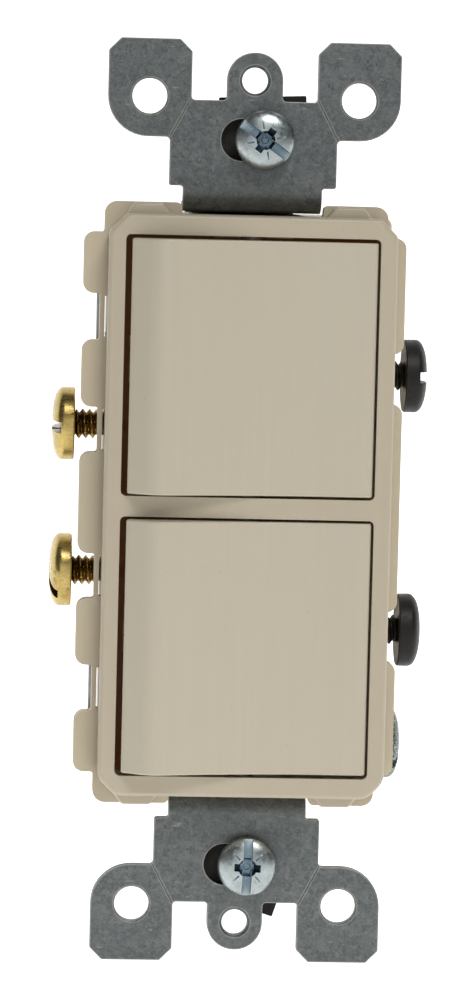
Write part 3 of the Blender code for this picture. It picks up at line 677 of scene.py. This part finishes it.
def groove(name, a, b, depth=0.11):
    """A V cutter along a line on the strap's front, from a to b as (x, z)."""
    start, end = Vector((a[0], -SHEET, a[1])), Vector((b[0], -SHEET, b[1]))
    way = (end - start).normalized()
    mesh = bpy.data.meshes.new(name)
    bm = bmesh.new()
    bmesh.ops.create_cone(bm, cap_ends=True, segments=4, radius1=depth * MM, radius2=depth * MM,
                          depth=((end - start).length + 0.6) * MM)
    turn = Matrix((Vector((0, 1, 0)).cross(way), Vector((0, 1, 0)), way)).transposed().to_4x4()
    bm.transform(Matrix.Translation((start + end) / 2 * MM) @ turn)
    bm.to_mesh(mesh)
    bm.free()
    return link(name, mesh)


def make_strap(material):
    """Punched and folded strip: soft edges, break-off grooves and rolled tapped holes."""
    strap = extruded("strap_sheet", strap_side(), "YZ", (-20.0, 20.0))
    combine(strap, [extruded("front_view", strap_outline(), "XZ", (-5.0, 40.0))], "INTERSECT")
    combine(strap, [block("ground_tab", GROUND_TAB_X, (3.4, STRAP_BACK_Y - 0.3), GROUND_TAB_Z)], "UNION")
    bevel(strap, 0.14, 2, 50)
    ground_spot = (GROUND_TAB_X[1], GROUND_HOLE_Y, GROUND_SCREW_Z)
    tools = [bar("ground_hole", 1.95, -2.0, 2.0, ground_spot, (1, 0, 0))]
    for _, sign in STRAP_ENDS:
        for side in (-1, 1):
            tools.append(block("leg_relief", (side * 6.5, side * 9.0), (3.0, STRAP_BACK_Y + 1),
                               (sign * 31.0, sign * 37.0)))
            spot = (side * EAR_HOLE[0], 0.0, sign * EAR_HOLE[1])
            tools += [bar("ear_hole", 2.0, -3.0, 3.0, spot, (0, 1, 0)),
                      bar("ear_rim", 2.0, 1.04, 1.24, spot, (0, -1, 0), 2.2)]
            tools.append(groove("score", (side * 7.4, sign * 46.0), (side * 9.5, sign * 42.0)))
        spot = (0.0, 0.0, sign * PLATE_HOLE_Z)
        tools += [bar("plate_hole", 1.48, -3.0, 3.0, spot, (0, 1, 0)),
                  bar("plate_rim", 1.48, 0.9, 1.25, spot, (0, -1, 0), 1.85)]
        slot = arc((1.35, sign * SLOT_Z), 2.4, -90, 90, 24) + arc((-1.35, sign * SLOT_Z), 2.4, 90, 270, 24)
        tools.append(extruded("slot", slot, "XZ", (-4, 4)))
    combine(strap, tools)
    smooth(strap, 28)
    settle(strap, "base", material, "mounting_strap")


# ---------------------------------------------------------------------------------------------
# Rear housing


def flange_outline():
    """The housing's flange: barrier tabs down both sides, and stepped ends between the strap's legs."""
    corner_z, neck_x, right_x, half = 34.4, 8.05, 15.5, 33.1
    rail, r = -17.15, 1.2
    left = []
    for low, high in ((-30.9, -23.9), (-18.6, -10.95), (-5.8, 5.8), (10.95, 18.6), (23.9, 30.9)):
        left += [(rail, low, 0.3), (LEFT_TAB_X, low, r), (LEFT_TAB_X, high, r), (rail, high, 0.3)]
    left[0] = (-16.8, -30.9, 0.3)
    left[-1] = (-16.8, 30.9, 0.3)
    right = []
    for low, high in ((17.65, 30.9), (-11.95, 11.95), (-30.9, -17.65)):
        right += [(16.35, high, 0.3), (RIGHT_TAB_X, high, r), (RIGHT_TAB_X, low, r), (16.35, low, 0.3)]
    right[0] = (right_x, 30.9, 0.3)
    right[-1] = (right_x, -30.9, 0.3)
    top = [(-16.8, corner_z, 1.4), (-neck_x, corner_z, 0.6), (-neck_x, half, 0.3),
           (neck_x, half, 0.3), (neck_x, corner_z, 0.6), (right_x, corner_z, 1.4)]
    bottom = [(u, -v, q) for u, v, q in reversed(top)]
    return round_corners(left + top + right + bottom, 7)


def make_housing(material):
    """Box body and flange, with wells, terminal pockets, wire holes and release slots."""
    half_x, half_z, flange_back = 16.1, 33.1, FLANGE_Y + 2.0
    back_half_x, draft_y = 15.1, 13.0
    section = [(-half_x, flange_back - 0.5), (half_x, flange_back - 0.5), (half_x, draft_y),
               (back_half_x, HOUSING_BACK_Y), (-back_half_x, HOUSING_BACK_Y), (-half_x, draft_y)]
    housing = extruded("housing_shell", section, "XY", (-half_z, half_z))
    bevel(housing, 0.8, 5)
    flange = extruded("flange", flange_outline(), "XZ", (FLANGE_Y, flange_back))
    bevel(flange, 0.3, 4, 60)
    for sign in (1, -1):
        for low, high in ((6.0, 10.7), (18.9, 23.6)):
            combine(flange, [block("slit", (-16.6, -16.35), (-4, 0), (sign * low, sign * high))])
    combine(housing, [flange], "UNION", "MANIFOLD")
    saddles = [block("saddle", (-4.5, 4.5), (-5.0, 0.0), (-1.1, 1.1))]
    saddles += [block("saddle", (-4.5, 4.5), (-5.0, 0.0), (s * 30.6, s * 31.7)) for s in (1, -1)]
    combine(housing, saddles, "UNION")
    tools = [block("common_pocket", (14.7, 17.0), (1.7, 12.65), (-19.0, 19.0)),
             block("ground_recess", (15.1, 18.0), (3.0, HOUSING_BACK_Y + 1), (-34.0, -24.9)),
             bar("ground_hole", 2.2, -8.0, 2.0, (15.5, GROUND_HOLE_Y, GROUND_SCREW_Z), (1, 0, 0))]
    for s in (1, -1):
        side = (s * 1.1, s * 30.6)
        tools += [
            block("well", (-14.3, 14.3), (-4.0, 4.0), side),
            block("chamber", (-13.5, 13.5), (3.0, 12.65), side),
            block("notch", (-1.4, 1.4), (-6.0, PIVOT_Y + 1.35), (s * 0.5, s * 31.5)),
            block("brass_pocket", (-17.0, -14.7), (1.7, 12.65), (s * 3.9, s * 19.0)),
            block("brass_slot", (-17.0, -12.0), (11.05, 12.65), (s * 12.7, s * 19.0)),
            block("common_slot", (12.0, 17.0), (11.05, 12.65), (s * 12.7, s * 19.0)),
            block("clip_slot", (-17.0, -15.6), (1.7, 5.6), (s * 24.2, s * 26.6)),
            bar("brass_hole", 2.1, 0.0, 6.0, (-17.5, TERMINAL_Y, s * BRASS_SCREW_Z), (1, 0, 0)),
            bar("black_hole", 2.1, 0.0, 6.0, (17.5, TERMINAL_Y, s * BLACK_SCREW_Z), (-1, 0, 0)),
        ]
    wire_radius = 1.3
    for x in (-12.2, 12.2):
        for z in (-19.5, -12.0, 12.0, 19.5):
            spot = (x, HOUSING_BACK_Y, z)
            tools += [bar("wire_hole", wire_radius, -9.0, 1.0, spot, (0, 1, 0)),
                      bar("wire_funnel", wire_radius, -0.7, 0.1, spot, (0, 1, 0), 2.1)]
        for z in (-15.75, 15.75):
            tools.append(block("release_slot", (x - 0.7, x + 0.7), (HOUSING_BACK_Y - 6, HOUSING_BACK_Y + 1),
                               (z - 1.4, z + 1.4)))
        for z in (-29.0, 0.0, 29.0):
            tools.append(bar("ejector_mark", 1.6, -0.12, 1.0, (x, HOUSING_BACK_Y, z), (0, 1, 0)))
        gauge = extruded("strip_gauge", rectangle((x - 1.0, x + 1.0), (-8.5, 8.5), 1.0), "XZ",
                         (HOUSING_BACK_Y - 0.35, HOUSING_BACK_Y + 1))
        tools.append(gauge)
    combine(housing, tools)
    smooth(housing, 30)
    settle(housing, "base", material, "rear_housing")


# ---------------------------------------------------------------------------------------------
# Screws


PITCH, THREAD_DEPTH, THREAD_RADIUS = 0.794, 0.45, 1.75


def thread_radius(major, turn_share):
    """Radius of a V thread with small flats, at a share 0 to 1 of its pitch."""
    rise = abs(turn_share - 0.5) * 2
    return major - THREAD_DEPTH * min(1.0, max(0.0, (rise - 0.12) / 0.76))


def screw_mesh(name, head, major, length, sides=56):
    """One closed surface: a turned head from its crown down, then a helical thread to the tip."""
    mesh = bpy.data.meshes.new(name)
    bm = bmesh.new()
    rings = []
    for r, h in head:
        rings.append([(r, h)] * sides)
    steps = int(length / PITCH * 8)
    for i in range(steps + 1):
        z = -length * i / steps
        taper = min(1.0, (length + z) / 0.7 + 0.35)
        start = min(1.0, -z / 0.25)
        ring = []
        for k in range(sides):
            r = thread_radius(major, (z / PITCH - k / sides) % 1.0)
            r = r * start + (major - THREAD_DEPTH) * (1 - start)
            ring.append((r * min(1.0, 0.72 + 0.28 * taper), z))
        rings.append(ring)
    loops = []
    for ring in rings:
        loop = []
        for k, (r, h) in enumerate(ring):
            a = 2 * math.pi * k / sides
            loop.append(bm.verts.new((MM * r * math.cos(a), MM * r * math.sin(a), MM * h)))
        loops.append(loop)
    for upper, lower in zip(loops, loops[1:]):
        for k in range(sides):
            j = (k + 1) % sides
            bm.faces.new((upper[k], lower[k], lower[j], upper[j]))
    bm.faces.new(loops[0])
    bm.faces.new(list(reversed(loops[-1])))
    bmesh.ops.recalc_face_normals(bm, faces=bm.faces)
    bm.to_mesh(mesh)
    bm.free()
    return link(name, mesh)


def pan_head(radius, height, rim, power=2.5, steps=14):
    """Head profile from the crown to the underside: a crown that rolls over into a straight rim."""
    points = []
    for i in range(steps + 1):
        share = 0.12 + 0.88 * math.sin(math.pi / 2 * i / steps)
        roll = max(0.0, 1 - share ** power) ** (1 / power)
        points.append((radius * share, height * (rim + (1 - rim) * roll)))
    points += [(radius * 0.995, 0.16), (radius - 0.14, 0.0), (1.6, 0.0)]
    return points


def place_screw(screw, origin, direction, turn_deg):
    """Turns a screw about its own axis, points its crown along direction, and moves it to origin."""
    spin = Matrix.Rotation(math.radians(turn_deg), 4, "Z")
    screw.data.transform(pointing(direction, origin) @ spin)


def slot_cutter(radius, width, height, depth):
    """Cutter for a slot right across a crown."""
    return block("slot", (-radius - 1, radius + 1), (-width / 2, width / 2), (height - depth, height + 2))


def combination_recess(height, radius, slot_width, cross_reach, depth):
    """Cutters for a slot right across the crown and a tapered cross in its middle."""
    tools = [slot_cutter(radius, slot_width, height, depth)]
    foot, low, high = 0.45 * cross_reach, height - depth - 0.6, height + 0.3
    for turn in (0, 90):
        side = [(-cross_reach, high), (cross_reach, high), (foot, low), (-foot, low)]
        wing = extruded("wing", side, "XZ", (-0.45, 0.45))
        wing.data.transform(Matrix.Rotation(math.radians(turn), 4, "Z"))
        tools.append(wing)
    tools.append(bar("cone", 0.35, height - depth - 0.75, height + 0.1, (0, 0, 0), (0, 0, 1), 1.15, 32))
    return tools


def make_terminal_screw(node, material, direction, slot_turn, cross):
    """Binding-head screw on the CAD node's place, slotted, with a cross recess too where cross says so."""
    low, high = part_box(node)
    middle = (low + high) / 2 / MM
    radius = (high.z - low.z) / 2 / MM
    length = 5.6 if "ground" not in node else 5.0
    size = (high.x - low.x) / MM
    height = size - length
    crown = high.x / MM if direction[0] > 0 else low.x / MM
    underside = crown - direction[0] * height
    screw = screw_mesh(node + "_fine", pan_head(radius, height, 0.45), THREAD_RADIUS, length)
    slot_depth = 1.05
    if cross:
        combine(screw, combination_recess(height, radius, 1.25, 1.7, slot_depth))
    else:
        combine(screw, [slot_cutter(radius, 1.24, height, slot_depth)])
    smooth(screw, 32)
    place_screw(screw, (underside, middle.y, middle.z), direction, slot_turn)
    settle(screw, node, material, node)


def make_mounting_screw(label, material, slot_turn):
    """Pan-head screw with a combination recess and four short ticks between its arms."""
    node = "mounting_screw_" + label
    low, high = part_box(node)
    middle = (low + high) / 2 / MM
    radius = (high.x - low.x) / 2 / MM
    height = 1.9
    length = (high.y - low.y) / MM - height
    screw = screw_mesh(node + "_fine", pan_head(radius, height, 0.25, 2.2), THREAD_RADIUS, length)
    combine(screw, combination_recess(height, radius, 1.1, 1.75, 0.95))
    ticks = []
    for turn in (45, 135, 225, 315):
        tick = block("tick", (1.3, 2.3), (-0.1, 0.1), (height - 0.32, height + 1))
        tick.data.transform(Matrix.Rotation(math.radians(turn), 4, "Z"))
        ticks.append(tick)
    combine(screw, ticks)
    smooth(screw, 32)
    place_screw(screw, (middle.x, low.y / MM + height, middle.z), (0, -1, 0), slot_turn)
    settle(screw, node, material, node)


def make_retainer(label, turn, material):
    """Square fibre washer, turned as it happens to sit."""
    node = "screw_retainer_" + label
    low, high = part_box(node)
    middle = (low + high) / 2 / MM
    outline = rectangle((-5.0, 5.0), (-5.0, 5.0), 0.15)
    washer = extruded(f"retainer_{label}_washer", outline, "XZ", (low.y / MM, high.y / MM))
    bevel(washer, 0.08, 2)
    combine(washer, [bar("hole", 1.9, -3, 3, (0, 0, 0), (0, 1, 0))])
    washer.data.transform(Matrix.Translation((middle.x * MM, 0, middle.z * MM))
                          @ Matrix.Rotation(math.radians(turn), 4, "Y"))
    smooth(washer)
    settle(washer, node, material, node)


# ---------------------------------------------------------------------------------------------
# Put together


bezel_cream = plastic("bezel_look", BEZEL_CREAM)
rocker_cream = plastic("rocker_look", ROCKER_CREAM, (0.28, 0.36))
housing_cream = housing_plastic("housing_look", HOUSING_CREAM, -2.75 * MM, 14.6 * MM)
zinc_strap = galvanised()
# Mounting and brass screws: painted shade darkens their slots and recesses.
bright_zinc = metal("bright_zinc_look", (0.50, 0.55, 0.56), (0.30, 0.34, 0.34), (0.24, 0.44),
                    stain=(0.25, 0.26, 0.22), painted_recess_shade=(0.10, 0.155, 0.20))
brass_bright = metal("brass_screw_look", (0.58, 0.445, 0.165), (0.36, 0.26, 0.085), (0.20, 0.38),
                     lines=(0.3, 1.0, 1.0), stain=(0.16, 0.11, 0.04), painted_recess_shade=(0.14, 0.08, 0.02))
brass_strip = metal("brass_strip_look", (0.80, 0.62, 0.30), (0.66, 0.50, 0.24), (0.25, 0.42),
                    lines=(1.0, 1.0, 0.15))
black_oxide = black_finish()
# The ground screw's bright and black flecks are painted reflections.
green_zinc = green_with_painted_glints()
silver = metal("contact_silver_look", (0.88, 0.87, 0.83), (0.76, 0.74, 0.70), (0.25, 0.4))
spring_steel = metal("spring_steel_look", (0.40, 0.41, 0.42), (0.26, 0.27, 0.28), (0.28, 0.42),
                     lines=(1.0, 1.0, 0.2))
nylon = plastic("nylon_look", (0.78, 0.77, 0.72), (0.35, 0.5))
black_fibre = matte_black()

make_cover(bezel_cream)
make_housing(housing_cream)
make_strap(zinc_strap)
for label, sign in ROCKERS:
    make_rocker(label, sign, rocker_cream)
    make_terminal_screw("terminal_screw_brass_" + label, brass_bright, (-1, 0, 0),
                        -5 if sign > 0 else -40, True)
    make_terminal_screw("terminal_screw_black_" + label, black_oxide, (1, 0, 0),
                        0 if sign > 0 else 90, False)
make_terminal_screw("ground_screw", green_zinc, (1, 0, 0), 35, True)
make_mounting_screw("top", bright_zinc, -35)
make_mounting_screw("bottom", bright_zinc, 88)
make_retainer("top", -2.4, black_fibre)
make_retainer("bottom", 18.0, black_fibre)

CAD_LOOKS = {
    "brass_terminal": brass_strip, "contact_arm": brass_strip, "common_terminal_bar": brass_strip,
    "moving_contact": silver, "fixed_contact": silver, "plunger": nylon,
    "rocker_spring": spring_steel, "wire_clip": spring_steel,
}
for name, node in frame["nodes"].items():
    for start, look in CAD_LOOKS.items():
        if name.startswith(start):
            node.data.materials.clear()
            node.data.materials.append(look)


# ---------------------------------------------------------------------------------------------
# Camera, floor and light


def make_camera():
    """A long lens a little left of and above the switch, with the slight roll of the view."""
    azimuth, elevation, roll = math.radians(-3.41), math.radians(4.43), math.radians(1.42)
    distance, lens_per_sensor = 500.0, 4.352
    aim = Vector((-1.07, 0.0, 0.42)) * MM
    back = Vector((math.sin(azimuth) * math.cos(elevation), -math.cos(azimuth) * math.cos(elevation),
                   math.sin(elevation)))
    right = (-back).cross(Vector((0, 0, 1))).normalized()
    up = right.cross(-back)
    rolled_right = right * math.cos(roll) + up * math.sin(roll)
    rolled_up = up * math.cos(roll) - right * math.sin(roll)
    data = bpy.data.cameras.new("camera")
    data.sensor_width = 36.0
    data.lens = lens_per_sensor * data.sensor_width
    data.clip_start, data.clip_end = 0.01, 20.0
    camera = bpy.data.objects.new("camera", data)
    turn = Matrix((rolled_right, rolled_up, back)).transposed().to_4x4()
    camera.matrix_world = Matrix.Translation(aim + back * distance * MM) @ turn
    bpy.context.scene.collection.objects.link(camera)
    bpy.context.scene.camera = camera


def make_backdrop():
    """A white floor and back, swept up in one curve, that glow behind the switch and not in front of it."""
    floor_z, half, radius, back = CAD_BOX[0].z - 0.0005, 5.0, 0.35, 0.9
    profile = [(-half, floor_z)]
    profile += [(back + radius * math.sin(a), floor_z + radius * (1 - math.cos(a)))
                for a in [math.pi / 2 * i / 16 for i in range(17)]]
    profile.append((back + radius, 3.5))
    mesh = bpy.data.meshes.new("sweep")
    bm = bmesh.new()
    left, right = [[bm.verts.new((x, y, z)) for y, z in profile] for x in (-half, half)]
    for i in range(len(profile) - 1):
        bm.faces.new((left[i], right[i], right[i + 1], left[i + 1]))
    bm.to_mesh(mesh)
    bm.free()
    mesh.shade_smooth()
    n = Nodes("sweep_white")
    axes = n.add("ShaderNodeSeparateXYZ")
    n.join(n.place, axes.inputs["Vector"])
    glow = n.spread(axes.outputs["Y"], 0.08, 0.85, (-0.35, 0.0))
    n.join(glow, n.shader.inputs["Emission Strength"])
    n.shader.inputs["Emission Color"].default_value = (1.0, 1.0, 1.0, 1.0)
    n.shader.inputs["Base Color"].default_value = (0.9, 0.9, 0.9, 1.0)
    n.shader.inputs["Roughness"].default_value = 0.9
    mesh.materials.append(n.material)
    link("sweep", mesh)


def area_light(name, place, size, power):
    """A white rectangle lamp that faces the switch."""
    data = bpy.data.lights.new(name, "AREA")
    data.shape = "RECTANGLE"
    data.size, data.size_y = size
    data.energy = power
    light = bpy.data.objects.new(name, data)
    light.location = place
    light.rotation_euler = (-Vector(place)).to_track_quat("-Z", "Y").to_euler()
    bpy.context.scene.collection.objects.link(light)


def make_lights():
    """A small key lamp from above and right, a weak fill from the front, and a dim white world."""
    world = bpy.data.worlds.new("studio")
    world.use_nodes = True
    world.node_tree.nodes["Background"].inputs["Color"].default_value = (1.0, 1.0, 1.0, 1.0)
    world.node_tree.nodes["Background"].inputs["Strength"].default_value = 0.10
    bpy.context.scene.world = world
    bpy.context.scene.view_settings.view_transform = "Standard"
    area_light("key", (0.24, -0.68, 0.82), (0.42, 0.34), 6.0)
    area_light("fill", (-0.05, -1.15, 0.12), (0.6, 0.7), 1.3)


make_camera()
make_backdrop()
make_lights()
